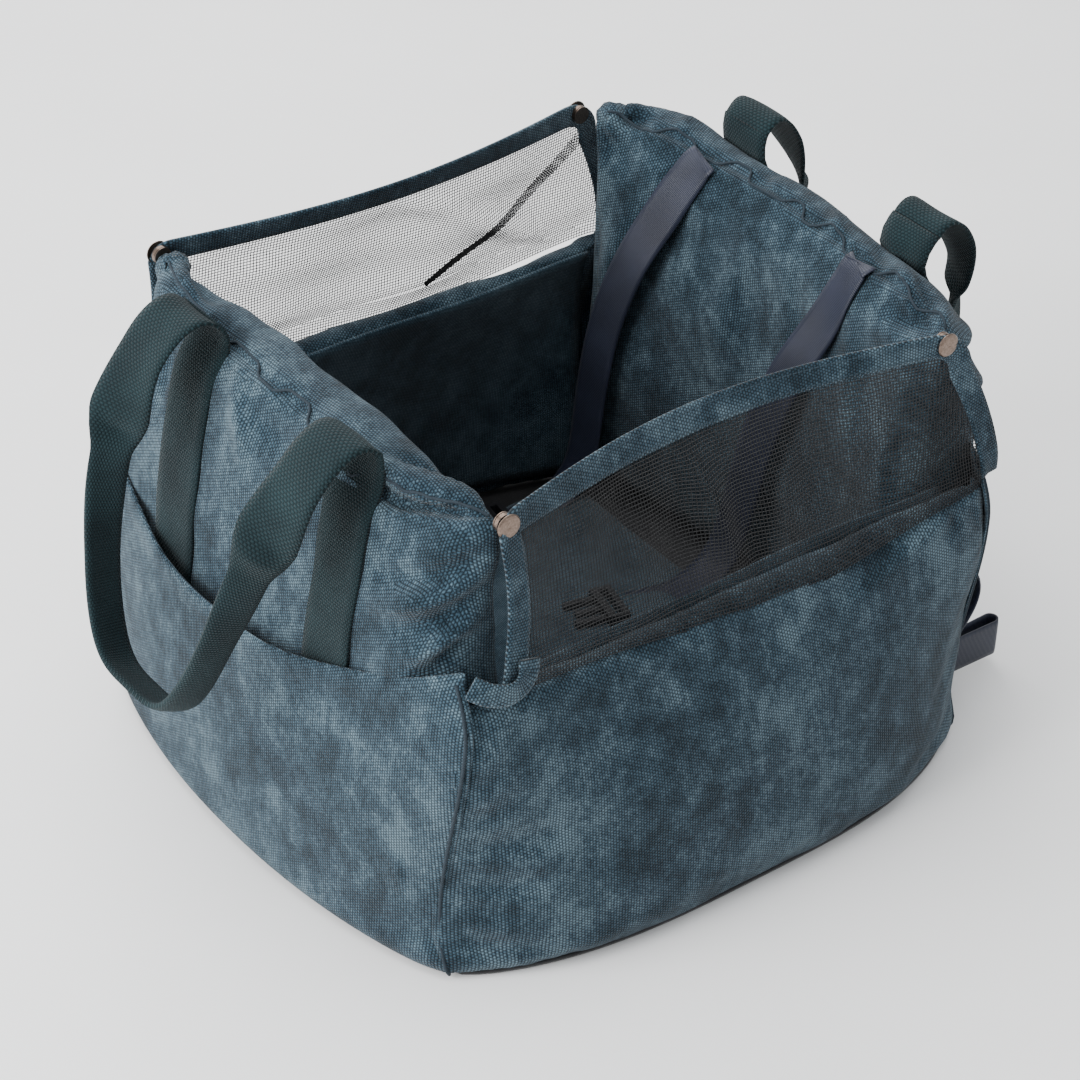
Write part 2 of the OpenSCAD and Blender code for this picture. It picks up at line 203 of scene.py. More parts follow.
def move_points(piece, co):
    piece.data.vertices.foreach_set("co", (np.asarray(co) * MM).astype(np.float32).ravel())
    piece.data.update()


def normals_of(piece):
    out = np.zeros(len(piece.data.vertices) * 3, np.float32)
    piece.data.vertices.foreach_get("normal", out)
    return out.reshape(-1, 3).astype(float)


def settle(piece):
    """Applies a piece's modifiers to its mesh."""
    graph = bpy.context.evaluated_depsgraph_get()
    made = bpy.data.meshes.new_from_object(piece.evaluated_get(graph))
    piece.modifiers.clear()
    old, piece.data = piece.data, made
    bpy.data.meshes.remove(old)
    made.polygons.foreach_set("use_smooth", [True] * len(made.polygons))


def box_uv(piece):
    """UVs in metres, each face seen along the axis that it faces most."""
    mesh = piece.data
    loops = np.zeros(len(mesh.loops), np.int32)
    mesh.loops.foreach_get("vertex_index", loops)
    total = np.zeros(len(mesh.polygons), np.int32)
    mesh.polygons.foreach_get("loop_total", total)
    normal = np.zeros(len(mesh.polygons) * 3, np.float32)
    mesh.polygons.foreach_get("normal", normal)
    way = np.repeat(np.abs(normal.reshape(-1, 3)).argmax(1), total)
    co = points_of(piece)[loops] * MM
    first = np.where(way == 0, co[:, 1], co[:, 0])
    second = np.where(way == 2, co[:, 1], co[:, 2])
    layer = mesh.uv_layers.get("UVMap") or mesh.uv_layers.new(name="UVMap")
    layer.data.foreach_set("uv", np.stack([first, second], 1).astype(np.float32).ravel())


# ---- Stuffing and sewing ----
# How much the cloth may stretch, the pressure inside it and the frames that it takes to swell
STUFF_SLACK = 0.03
STUFF_PRESSURE = 4.0
STUFF_FRAMES = 20


def stuff(piece, voxel, cap, keep, held=None):
    """Fills a closed piece like a cushion: remesh, cloth with pressure inside, swell capped in millimetres.

    It keeps the length that it was cut to along the axes in keep, so only its thickness swells.
    """
    remesh = piece.modifiers.new("Remesh", "REMESH")
    remesh.mode = "VOXEL"
    remesh.voxel_size = voxel * MM
    settle(piece)
    rest = points_of(piece)
    cloth = piece.modifiers.new("Cloth", "CLOTH")
    cloth.settings.quality = 4
    cloth.settings.mass = 0.3
    cloth.settings.tension_stiffness = 12
    cloth.settings.compression_stiffness = 12
    cloth.settings.bending_stiffness = 0.6
    cloth.settings.shrink_min = -STUFF_SLACK
    cloth.settings.use_pressure = True
    cloth.settings.uniform_pressure_force = STUFF_PRESSURE
    cloth.settings.effector_weights.gravity = 0
    cloth.collision_settings.use_collision = False
    cloth.point_cache.frame_start = 1
    cloth.point_cache.frame_end = STUFF_FRAMES
    if held is not None:
        group = piece.vertex_groups.new(name="held")
        for index in np.nonzero(held(rest))[0]:
            group.add([int(index)], 1.0, "REPLACE")
        cloth.settings.vertex_group_mass = "held"
    for number in range(1, STUFF_FRAMES + 1):
        bpy.context.scene.frame_set(number)
    graph = bpy.context.evaluated_depsgraph_get()
    swollen = piece.evaluated_get(graph).to_mesh()
    co = np.zeros(len(swollen.vertices) * 3, np.float32)
    swollen.vertices.foreach_get("co", co)
    piece.evaluated_get(graph).to_mesh_clear()
    moved = co.reshape(-1, 3).astype(float) / MM - rest
    far = np.linalg.norm(moved, axis=1, keepdims=True)
    piece.modifiers.clear()
    piece.vertex_groups.clear()
    full = rest + moved * np.minimum(1, cap / np.maximum(far, 1e-6))
    for k in keep:
        low, high = full[:, k].min(), full[:, k].max()
        full[:, k] = np.interp(full[:, k], (low, high), (rest[:, k].min(), rest[:, k].max()))
    move_points(piece, full)
    bpy.context.scene.frame_set(1)
    smooth = piece.modifiers.new("Smooth", "SMOOTH")
    smooth.factor = 0.5
    smooth.iterations = 3
    piece.modifiers.new("Fine", "SUBSURF").levels = 1
    settle(piece)
    return piece


def along_line(co, line):
    """Each point's distance to a line of points, and how far along that line it lies, from 0 to 1."""
    line = np.asarray(line, float)
    seg = np.diff(line, axis=0)
    length = np.linalg.norm(seg, axis=1)
    start = np.concatenate([[0], np.cumsum(length)])
    best, where = np.full(len(co), 1e9), np.zeros(len(co))
    for k in range(len(seg)):
        t = np.clip(((co - line[k]) @ seg[k]) / max(length[k] ** 2, 1e-9), 0, 1)
        d = np.linalg.norm(co - line[k] - t[:, None] * seg[k], axis=1)
        near = d < best
        best[near], where[near] = d[near], (start[k] + t * length[k])[near] / start[-1]
    return best, where


def press(piece, line, width, depth, even=False):
    """Presses a crease along a line into a surface, or raises a fold where depth is negative."""
    co = points_of(piece)
    line = np.asarray(line, float)
    near = ((co > line.min(0) - 3 * width) & (co < line.max(0) + 3 * width)).all(1)
    d, where = along_line(co[near], line)
    fade = 1.0 if even else np.sin(np.pi * np.clip(where, 0.02, 0.98)) ** 0.7
    co[near] -= normals_of(piece)[near] * (depth * fade * np.exp(-(d / width) ** 2))[:, None]
    move_points(piece, co)


def ripple(piece, height, seed):
    """Soft random unevenness of slack cloth."""
    rng = np.random.default_rng(seed)
    co = points_of(piece)
    total = np.zeros(len(co))
    for _ in range(9):
        way = unit(rng.normal(size=3))
        total += np.sin(co @ way * (2 * math.pi / rng.uniform(32, 95)) + rng.uniform(0, 6.28))
    move_points(piece, co + normals_of(piece) * (height * total / 3)[:, None])


def tree_of(piece):
    graph = bpy.context.evaluated_depsgraph_get()
    bpy.context.view_layer.update()
    return BVHTree.FromObject(piece, graph)


def lay(tree, line, off=0.0, step=3.0):
    """A line of points laid on a surface, evened out and lifted by off millimetres."""
    line = np.asarray(line, float)
    length = np.concatenate([[0], np.cumsum(np.linalg.norm(np.diff(line, axis=0), axis=1))])
    at = np.linspace(0, length[-1], max(3, int(length[-1] / step)))
    spread = np.stack([np.interp(at, length, line[:, k]) for k in range(3)], 1)
    out = []
    for p in spread:
        spot, normal, _, _ = tree.find_nearest(Vector(p * MM))
        out.append(np.array(spot) / MM + np.array(normal) * off)
    out = np.array(out)
    out[1:-1] = (out[:-2] + 2 * out[1:-1] + out[2:]) / 4
    return out


def curve(points, n=60):
    """A smooth line through given points."""
    p = np.asarray(points, float)
    p = np.concatenate([[2 * p[0] - p[1]], p, [2 * p[-1] - p[-2]]])
    out = []
    for t in np.linspace(0, len(p) - 3 - 1e-9, n):
        k, f = int(t), t - int(t)
        a, b, c, d = p[k:k + 4]
        out.append(0.5 * (2 * b + (c - a) * f + (2 * a - 5 * b + 4 * c - d) * f * f
                          + (3 * b - a - 3 * c + d) * f ** 3))
    return np.array(out)


def stitches(name, lines, pitch=3.4, length=2.3, radius=0.33, out=(0.0, -1.0, 0.0)):
    """Rows of thread stitches along lines that already lie on the cloth."""
    made = []
    for line in lines:
        run = np.concatenate([[0], np.cumsum(np.linalg.norm(np.diff(line, axis=0), axis=1))])
        for at in np.arange(pitch, run[-1] - pitch, pitch):
            where = np.array([at, at + length / 2, at + length])
            made.append(np.stack([np.interp(where, run, line[:, k]) for k in range(3)], 1))
    return tubes(name, made, radius, 4, out)


# ---- Outline of the lower body ----
def smoothstep(t):
    t = np.clip(t, 0, 1)
    return t * t * (3 - 2 * t)


CORNER_OUT = {-1: 200.0, 1: 179.0}
CORNER_END = 166.0
SEAM_DRAW = 6.0
FOOT_TUCK = 6.0


def rise(z, low, high):
    """How far a height has climbed from low to high, squared, so that a face leans in more and more."""
    return (np.maximum(z - low, 0) / (high - low)) ** 2


def foot(z):
    """Rounding of the lower edge, where the cloth turns under to the base."""
    return FOOT_TUCK * np.maximum(1 - z / 12, 0) ** 2


def corner_x(side, z):
    """The upright seam of a lower corner, measured from the middle of the bag."""
    return CORNER_OUT[side] - 6 * rise(z, 60, 200) - foot(z)


def corner_y(z):
    """The same seam measured from the middle to the front or back: it leans out, and flares at the foot."""
    flare = 9 * np.maximum(1 - z / 26, 0)
    return CORNER_END + 17 * smoothstep((z - 40) / 130) - 12 * rise(z, 165, 200) + flare - foot(z)


def drawn(gap):
    """How far the cloth is drawn in beside a corner seam."""
    return SEAM_DRAW * np.exp(-np.maximum(gap, 0) / 9)


def end_y(x, z):
    """How far the front or back face stands from the middle of the bag."""
    swell = np.where(x < 0, corner_x(-1, z), corner_x(1, z))
    middle = BODY_END + 3 - 36 * rise(z, 30, 190) - foot(z)
    bowed = (middle - corner_y(z)) * (1 - np.minimum(np.abs(x / swell), 1) ** 3.2)
    return corner_y(z) + bowed - drawn(swell - np.abs(x))


def side_x(side, y, z):
    """How far a pocket face stands from the middle of the bag."""
    middle = POCKET_OUT[side] - 8 * rise(z, 30, 150) - foot(z)
    share = np.minimum(np.abs(y / corner_y(z)), 1) ** 2.2
    bowed = (middle - corner_x(side, z)) * (1 - share)
    return corner_x(side, z) + bowed - drawn(corner_y(z) - np.abs(y))


# ---- Side walls ----
def wall_section(side, z):
    """A wall at a height: its ends, outer middle, roundness of each end and where it meets the cabin face."""
    ends = WALL_END + (6 * max(0.0, 1 - ((z - 90) / 100) ** 2) if z < PANEL_TOP else 0)
    high = smoothstep((z - 200) / 88)
    if side < 0:
        out = WALL_OUT[-1] - 30 * rise(z, 30, 290)
        return ends, out, 5.5 - 3.3 * high, 5.5 - 3.4 * high, 152.0, 0.0
    out = WALL_OUT[1] - 10 * rise(z, 30, 290) + 5 * high
    return ends, out, 5.0 - 3.2 * high, 6.0 - 3.0 * high, 141.0, 25.0 * high


def cabin_x(side, y, z):
    """How far a wall's cabin face stands from the middle of the bag."""
    swell = 1 - ((z - 140) / 150) ** 2
    if side < 0:
        return 142 + 12 * (y / 150) ** 2 - 4 * swell
    return 170 - 22 * np.abs((y - 20) / 150) ** 1.6 - 12 * swell


def wall_loop(side, z, inset, n_out=44, n_in=26):
    """Plan outline of a wall at a height, taken in by inset."""
    ends, out, front_round, back_round, join, centre = wall_section(side, z)
    ends, out = ends - inset, out - inset
    angle = np.linspace(0, math.pi, n_out)
    front = angle < math.pi / 2
    power = np.where(front, 2 / front_round, 2 / back_round)
    reach = np.where(front, ends + centre, ends - centre)
    y = centre - np.sign(np.cos(angle)) * reach * np.abs(np.cos(angle)) ** power
    x = join + (out - join) * np.abs(np.sin(angle)) ** power
    y_in = np.linspace(ends, -ends, n_in + 2)[1:-1]
    x_in = np.minimum(cabin_x(side, y_in, z) + inset, out - 6)
    loop = np.stack([np.concatenate([x, x_in]) * side, np.concatenate([y, y_in]),
                     np.full(n_out + n_in, z)], 1)
    return loop[::-1] if side > 0 else loop


def wall(side, name):
    """Padded side wall, stuffed, with its own seams and folds still to be pressed in."""
    base, top, round_r = FLOOR_Z + 2, WALL_TOP - 4.0, 9.0
    levels = [(base, 8.0), (base + 6, 4.0)]
    levels += [(z, 3.0) for z in np.linspace(base + 14, top - round_r, 22)]
    levels += [(top - round_r * (1 - math.sin(a)), 3.0 + round_r * (1 - math.cos(a)))
               for a in np.radians([30, 55, 75, 90])]
    piece = loft(name, [wall_loop(side, z, inset) for z, inset in levels])
    return stuff(piece, 6.0, 5.0, keep=(1, 2))


def top_seam(side):
    """The seam where a wall's top strip meets its outer panel or its cabin panel."""
    if side < 0:
        return [(-157, -152, 287), (-170, -140, 286), (-188, -105, 282), (-193, -60, 284), (-185, -8, 288),
                (-181, 50, 288), (-178, 101, 287), (-166, 140, 287), (-155, 154, 286)]
    return [(150, -146, 288), (157, -112, 289), (161, -82, 291), (165, -36, 292), (173, 20, 292),
            (175, 60, 292), (170, 100, 291), (162, 132, 289), (152, 150, 287)]


# ---- Materials ----
class Paint:
    """A procedural material and short ways to add its nodes."""

    def __init__(self, name, rough, sheen=0.0, metal=0.0, specular=0.3):
        self.material = bpy.data.materials.new(name)
        self.material.use_nodes = True
        self.tree = self.material.node_tree
        self.shader = self.tree.nodes["Principled BSDF"]
        self.shader.inputs["Roughness"].default_value = rough
        self.shader.inputs["Metallic"].default_value = metal
        self.shader.inputs["Specular IOR Level"].default_value = specular
        self.shader.inputs["Sheen Weight"].default_value = sheen
        self.shader.inputs["Sheen Roughness"].default_value = 0.45
        coords = self.tree.nodes.new("ShaderNodeTexCoord")
        self.place, self.uv = coords.outputs["Object"], coords.outputs["UV"]

    def link(self, source, socket):
        if hasattr(source, "is_output"):
            self.tree.links.new(source, socket)
        else:
            socket.default_value = source

    def math(self, kind, a, b=0.0):
        node = self.tree.nodes.new("ShaderNodeMath")
        node.operation = kind
        self.link(a, node.inputs[0])
        self.link(b, node.inputs[1])
        return node.outputs[0]

    def noise(self, scale, detail=4.0, rough=0.55, stretch=(1.0, 1.0, 1.0)):
        """Cloudy value whose clumps are about 1 / scale metres apart."""
        shift = self.tree.nodes.new("ShaderNodeMapping")
        shift.inputs["Scale"].default_value = stretch
        self.link(self.place, shift.inputs["Vector"])
        node = self.tree.nodes.new("ShaderNodeTexNoise")
        node.inputs["Scale"].default_value = scale
        node.inputs["Detail"].default_value = detail
        node.inputs["Roughness"].default_value = rough
        self.link(shift.outputs[0], node.inputs["Vector"])
        return node.outputs[0]

    def ramp(self, value, stops):
        node = self.tree.nodes.new("ShaderNodeValToRGB")
        band = node.color_ramp
        while len(band.elements) < len(stops):
            band.elements.new(0.5)
        for element, (at, colour) in zip(band.elements, stops):
            element.position = at
            element.color = (*colour, 1.0)
        self.link(value, node.inputs[0])
        return node.outputs[0]

    def tint(self, colour, value):
        """Multiplies a colour by a value."""
        node = self.tree.nodes.new("ShaderNodeVectorMath")
        node.operation = "SCALE"
        self.link(colour, node.inputs[0])
        self.link(value, node.inputs["Scale"])
        return node.outputs[0]

    def uv_parts(self):
        node = self.tree.nodes.new("ShaderNodeSeparateXYZ")
        self.link(self.uv, node.inputs[0])
        return node.outputs[0], node.outputs[1]

    def beads(self, pitch_u, pitch_v):
        """Staggered rows of raised threads, 0 in the gaps and 1 on the threads."""
        u, v = self.uv_parts()
        u, v = self.math("DIVIDE", u, pitch_u), self.math("DIVIDE", v, pitch_v)
        v = self.math("ADD", v, self.math("MULTIPLY", self.math("FLOOR", u), 0.5))
        wave_u = self.math("ABSOLUTE", self.math("SINE", self.math("MULTIPLY", u, math.pi)))
        wave_v = self.math("ABSOLUTE", self.math("SINE", self.math("MULTIPLY", v, math.pi)))
        return self.math("MULTIPLY", wave_u, wave_v)

    def bump(self, height, distance, strength=1.0):
        node = self.tree.nodes.new("ShaderNodeBump")
        node.inputs["Distance"].default_value = distance
        node.inputs["Strength"].default_value = strength
        self.link(height, node.inputs["Height"])
        self.link(node.outputs[0], self.shader.inputs["Normal"])

    def finish(self, colour):
        self.link(colour, self.shader.inputs["Base Color"])
        return self.material


def brushed_cloth(name, dark, middle, light, weave):
    """Chenille: cloudy brushed patches over a fine beaded weave, with painted shade in the gaps between its
    threads.
    """
    paint = Paint(name, 0.9, sheen=0.12, specular=0.08)
    clouds = paint.noise(16, 5, 0.62)
    streaks = paint.noise(1, 8, 0.74, (58, 58, 42))
    grain = paint.noise(520, 2, 0.6)
    mix = paint.math("ADD", paint.math("MULTIPLY", clouds, 0.34), paint.math("MULTIPLY", streaks, 0.46))
    mix = paint.math("ADD", mix, paint.math("MULTIPLY", grain, 0.20))
    colour = paint.ramp(mix, [(0.42, dark), (0.5, middle), (0.585, light)])
    beads = paint.beads(weave, weave * 1.1)
    # Painted shade: the colour is darkened in the gaps between the threads, where shade falls.
    thread_gap_shade = paint.math("ADD", 0.22, paint.math("MULTIPLY", beads, 1.35))
    height = paint.math("ADD", beads, paint.math("MULTIPLY", grain, 0.8))
    paint.bump(height, 0.0006, 0.8)
    return paint.finish(paint.tint(colour, thread_gap_shade))


def ribbed_webbing(name, dark, light):
    """Cotton webbing: rows of ribs across, with a chevron of threads along each."""
    paint = Paint(name, 0.85, sheen=0.06, specular=0.12)
    beads = paint.beads(0.0017, 0.0024)
    grain = paint.noise(700, 2)
    cloud = paint.noise(30, 3)
    colour = paint.ramp(cloud, [(0.35, dark), (0.65, light)])
    # Painted shade: the colour is darkened between the raised threads, where shade falls.
    thread_gap_shade = paint.math("ADD", 0.55, paint.math("MULTIPLY", beads, 0.75))
    paint.bump(paint.math("ADD", beads, paint.math("MULTIPLY", grain, 0.4)), 0.0007, 0.9)
    return paint.finish(paint.tint(colour, thread_gap_shade))


def satin_ribbon(name, dark, light):
    """Grosgrain: fine close ribs straight across, with a satin shine."""
    paint = Paint(name, 0.45, sheen=0.05, specular=0.35)
    u, _ = paint.uv_parts()
    ribs = paint.math("ABSOLUTE", paint.math("SINE", paint.math("MULTIPLY", u, math.pi / 0.0011)))
    colour = paint.ramp(paint.noise(40, 3), [(0.35, dark), (0.65, light)])
    paint.bump(ribs, 0.0003, 0.6)
    # Painted shade: the colour is darkened in the grooves between the ribs, where shade falls.
    return paint.finish(paint.tint(colour, paint.math("ADD", 0.75, paint.math("MULTIPLY", ribs, 0.3))))


def grained(name, dark, light, rough, scale=300, bump=0.0002, metal=0.0, sheen=0.0):
    """Plain material with a fine grain: plastic, metal, board, foam or thread."""
    paint = Paint(name, rough, sheen=sheen, metal=metal, specular=0.4)
    grain = paint.noise(scale, 4)
    paint.bump(grain, bump, 0.6)
    worn = paint.math("ADD", rough - 0.08, paint.math("MULTIPLY", paint.noise(90, 3), 0.16))
    paint.link(worn, paint.shader.inputs["Roughness"])
    return paint.finish(paint.ramp(grain, [(0.3, dark), (0.7, light)]))


CHENILLE = brushed_cloth("chenille", (0.010, 0.022, 0.032), (0.027, 0.051, 0.071),
                         (0.075, 0.117, 0.145), 0.0017)
LINING = brushed_cloth("lining", (0.016, 0.033, 0.048), (0.032, 0.060, 0.082), (0.062, 0.100, 0.128), 0.0012)
WEBBING = ribbed_webbing("webbing", (0.006, 0.015, 0.018), (0.010, 0.024, 0.028))
GROSGRAIN = satin_ribbon("grosgrain", (0.008, 0.011, 0.024), (0.014, 0.018, 0.036))
NET = grained("net", (0.006, 0.006, 0.007), (0.014, 0.014, 0.015), 0.6)
METAL = grained("snap_metal", (0.13, 0.095, 0.075), (0.22, 0.165, 0.135), 0.34, 900, 0.00005, metal=1.0)
BASE_CLOTH = grained("base_cloth", (0.006, 0.006, 0.007), (0.016, 0.016, 0.018), 0.75, 1200, 0.0004,
                     sheen=0.2)
BOARD = grained("board", (0.02, 0.02, 0.022), (0.04, 0.04, 0.043), 0.7)
PLASTIC = grained("buckle_plastic", (0.008, 0.008, 0.009), (0.016, 0.016, 0.018), 0.38, 1500, 0.00006)
THREAD = grained("thread", (0.014, 0.030, 0.044), (0.026, 0.050, 0.068), 0.7, 900)
# Painted shadow: dark tubes laid along the wall top seams and the lower corner seams stand for the shade in
# the seams' grooves.
PAINTED_SEAM_SHADOW = grained("seam_shadow", (0.006, 0.012, 0.018), (0.012, 0.022, 0.032), 0.9, 900)
PALE = grained("pale_floor", (0.86, 0.86, 0.86), (0.90, 0.90, 0.90), 0.6, 4, 0.0)


def dress(piece, material, body, slot, *nodes):
    """Gives a piece its material and its body, and hides the CAD nodes that it stands for; slot is not used.
    """
    piece.data.materials.clear()
    piece.data.materials.append(material)
    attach(piece, body)
    if nodes:
        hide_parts(*nodes)
    return piece


# ---- Walls ----
WALLS = {}


def sew_wall(side, name):
    """One side wall with its top seam and folds pressed in, and a dark tube of painted shadow along that
    seam.
    """
    label = "left" if side < 0 else "right"
    piece = wall(side, name)
    press(piece, lay(tree_of(piece), curve(top_seam(side))), 3.5, 3.0, even=True)
    ripple(piece, 1.1, 60 + side)
    tree = tree_of(piece)
    for line, width, depth in FOLDS[side]:
        press(piece, lay(tree, curve(line, 24)), width, depth * FOLD_SHARE)
    box_uv(piece)
    WALLS[side] = tree_of(piece)
    dress(piece, CHENILLE, "bag", "chenille", f"{label}_wall_foam", f"{label}_outer_panel",
          f"{label}_inner_panel", f"{label}_top_strip")
    # Painted shadow: a dark tube laid in the top seam's crease stands for the shade there.
    seam_shadow_tube = tubes(f"{label}_top_seam", [lay(WALLS[side], curve(top_seam(side)), 0.1)], 0.8, 6, (0, 0, 1))
    dress(seam_shadow_tube, PAINTED_SEAM_SHADOW, "bag", "chenille")
    return piece


# How much deeper the folds are pressed than the depths listed
FOLD_SHARE = 1.5
# Folds of each wall: a line, its half width and its depth (a ridge where negative)
FOLDS = {
    -1: [
        ([(-157, -156, 284), (-175, -120, 279), (-186, -95, 276), (-190, -66, 286)], 5, 5.0),
        ([(-157, -158, 284), (-172, -120, 288), (-182, -90, 291), (-186, -66, 293)], 6, -4.5),
        ([(-146, -146, 290), (-160, -118, 292), (-174, -92, 294)], 5, -3.0),
        ([(-144, -128, 291), (-158, -104, 292), (-172, -80, 293)], 4, 3.0),
        ([(-160, -162, 268), (-182, -150, 255), (-194, -120, 240), (-198, -95, 232)], 6, 3.0),
        ([(-160, -162, 256), (-184, -148, 240), (-196, -118, 222), (-200, -100, 214)], 6, -3.0),
        ([(-160, -162, 246), (-186, -148, 226), (-197, -122, 206)], 6, 2.6),
        ([(-166, -162, 232), (-188, -148, 212), (-197, -130, 198)], 6, -2.4),
        ([(-172, -163, 218), (-186, -158, 206), (-194, -146, 196)], 5, 3.2),
        ([(-190, -50, 268), (-196, -20, 262), (-196, 20, 266), (-190, 48, 272)], 9, 2.2),
        ([(-186, 48, 284), (-194, 30, 262), (-199, 18, 232)], 7, -2.2),
        ([(-184, 104, 276), (-192, 108, 250), (-197, 110, 220)], 7, 3.0),
        ([(-176, 126, 274), (-188, 130, 248), (-194, 134, 216)], 6, -2.6),
        ([(-168, 148, 272), (-180, 150, 244), (-188, 154, 214)], 6, 2.8),
        ([(-154, 156, 288), (-164, 128, 291), (-172, 108, 292)], 5, -4.0),
        ([(-150, 150, 290), (-156, 122, 292), (-162, 96, 293)], 5, 3.0),
        ([(-141, -40, 276), (-138, 0, 268), (-140, 44, 276)], 9, 2.0),
        ([(-141, -90, 240), (-137, -20, 225), (-139, 60, 240)], 12, -2.5),
        ([(-136, 148, 286), (-148, 154, 288), (-164, 150, 286)], 12, -6.0),
    ],
    1: [
        ([(142, -156, 284), (152, -134, 276), (160, -100, 262)], 6, 3.0),
        ([(146, -158, 276), (166, -150, 268), (182, -128, 262)], 6, -3.2),
        ([(150, -160, 268), (172, -154, 256), (190, -132, 246)], 6, 3.4),
        ([(154, -161, 256), (178, -156, 240), (196, -136, 228)], 6, -2.6),
        ([(160, -162, 240), (182, -157, 224), (198, -138, 212)], 6, 2.8),
        ([(150, -132, 290), (164, -118, 292), (178, -100, 290)], 5, 3.4),
        ([(150, -120, 291), (166, -104, 293), (182, -86, 291)], 5, -3.2),
        ([(161, -82, 292), (176, -72, 294), (192, -60, 290)], 5, 2.6),
        ([(166, -36, 293), (182, -28, 294), (198, -20, 290)], 5, -2.0),
        ([(172, 36, 293), (186, 40, 294), (202, 44, 290)], 6, 2.2),
        ([(170, 100, 292), (180, 110, 293), (196, 118, 288)], 6, -2.6),
        ([(152, 152, 284), (160, 140, 290), (172, 128, 292)], 6, 4.5),
        ([(148, 156, 290), (160, 150, 293), (176, 142, 292)], 6, -4.0),
        ([(154, 70, 250), (150, 92, 215), (148, 108, 175)], 11, 2.4),
        ([(156, 20, 260), (153, 34, 220), (152, 44, 170)], 12, -2.2),
        ([(157, -20, 262), (153, -30, 215), (152, -34, 160)], 11, 2.4),
        ([(155, -76, 262), (151, -84, 220), (149, -92, 170)], 10, -2.4),
        ([(150, 120, 240), (146, 130, 200), (145, 138, 150)], 9, -2.6),
        ([(140, 150, 284), (150, 154, 288), (164, 150, 290)], 12, -5.0),
    ],
}


def webbing_run(side, y, name):
    """Flat webbing sewn up a wall from inside the pocket to where the handle folds over."""
    pivot = joint_at("left_handle_lift" if side < 0 else "right_handle_lift")
    heights = np.linspace(112, WALL_TOP - 9, 26)
    across = np.linspace(-HANDLE_W / 2, HANDLE_W / 2, 7)
    rows = []
    for z in heights:
        row = []
        for dy in across:
            start = Vector((side * 0.4, (y + dy) * MM, z * MM))
            hit = WALLS[side].ray_cast(start, Vector((-side, 0, 0)))[0]
            spot = hit if hit is not None else WALLS[side].find_nearest(start)[0]
            row.append([spot.x / MM + side * 1.3, y + dy, z])
        rows.append(row)
    rows = np.array(rows)
    rows[:, :, 0] = (rows[:, :, 0] + rows[:, :, 0].mean(1, keepdims=True)) / 2
    lift = [(0.55, WALL_TOP - 1), (0.9, pivot[2] - 2.5), (1.0, pivot[2] + 0.4)]
    tops = [np.stack([rows[-1, :, 0] * (1 - f) + pivot[0] * f, y + across, np.full(7, z)], 1)
            for f, z in lift]
    grid = np.concatenate([rows, tops])
    for _ in range(2):
        grid[1:-1, :, 0] = (grid[:-2, :, 0] + 2 * grid[1:-1, :, 0] + grid[2:, :, 0]) / 4
    return sheet_mesh(name, grid[:, ::-1] if side < 0 else grid, HANDLE_T)


def handle(side, name):
    """Hanging webbing loop whose middle, the grip, is folded lengthwise and stitched."""
    pivot = joint_at(name + "_lift")
    out = HANDLE_OUT - abs(pivot[0])
    drop = pivot[2] - edge(name, 0, 2) - 5.0
    ends = np.array([[0, 0], [-15, 23], [-out * 0.72, -10], [-out, -drop]])
    centres, widths, folded = [], [], []
    for t in np.linspace(0, 1, 161):
        share = 1 - abs(2 * t - 1)
        s = math.radians(90 * share)
        f = math.sin(s)
        q = np.array([(1 - f) ** 3, 3 * (1 - f) ** 2 * f, 3 * (1 - f) * f * f, f ** 3]) @ ends
        y = (1 if t < 0.5 else -1) * (HANDLE_Y + 8 * math.sin(2 * s) ** 2) * max(math.cos(s), 1e-4) ** 0.5
        centres.append((side * (abs(pivot[0]) - q[0]), y + 14 * f * f, pivot[2] - 0.8 + q[1]))
        a = math.pi / 2 * float(smoothstep((share - 0.3) / 0.4))
        widths.append((side * 0.9 * math.sin(a), math.cos(a), 0.43 * math.sin(a)))
        folded.append(float(smoothstep((share - 0.43) / 0.09)))
    folded = np.array(folded)
    pinch = np.exp(-((folded - 0.5) / 0.28) ** 2)
    return band(name + "_loop", centres, widths, HANDLE_W * (1 - 0.42 * folded),
                HANDLE_T * (1 + 0.9 * folded), crown=0.7 + 4.5 * pinch)


# ---- Lower panels and pockets ----
def end_pad(face, name):
    """Padded front or back panel, tapering to its corner seams: face is -1 at the front, 1 at the back."""
    xs = np.sin(np.linspace(-1, 1, 65) * math.pi / 2)
    zs = np.linspace(2, PANEL_TOP - 3, 34)
    u, z = np.meshgrid(xs, zs, indexing="ij")
    reach = np.where(u < 0, corner_x(-1, z), corner_x(1, z)) - 1.0
    full = (1 - np.abs(u) ** 10) * (1 - np.maximum(1 - z / 16, 0) ** 3)
    thick = 8.0 + (PANEL_T - 12.5) * full
    grid = np.stack([u * reach, face * (end_y(u * reach, z) - thick / 2 - 2.5 * full), z], -1)
    piece = sheet_mesh(name, grid if face < 0 else grid[::-1], thick if face < 0 else thick[::-1])
    right, left = CORNER_OUT[1] - 12, 12 - CORNER_OUT[-1]
    stuff(piece, 4.5, 5.0, (0, 2), held=lambda co: (co[:, 0] > right) | (co[:, 0] < left) | (co[:, 2] < 8))
    ripple(piece, 0.9, 80 + face)
    return piece


def lining_face(face, name):
    """Smooth lining on the cabin side of an end panel."""
    xs = np.linspace(-150, 150, 45)
    zs = np.linspace(PAD_TOP - 12, PANEL_TOP - 6, 24)
    x, z = np.meshgrid(xs, zs, indexing="ij")
    dent = 2.0 * np.sin(x / 31 + z / 60) * np.sin(z / 26 + x / 90)
    y = face * (end_y(x, z) - PANEL_T - 3.5 + dent)
    grid = np.stack([x, y, z], -1)
    return sheet_mesh(name, grid if face > 0 else grid[::-1], CLOTH_T)


def pocket_top(y):
    """Height of a pocket's mouth along the wall."""
    return 151 + np.where(y < 30, 54, 34) * (np.abs(y - 30) / np.where(y < 30, 207, 150)) ** 1.7


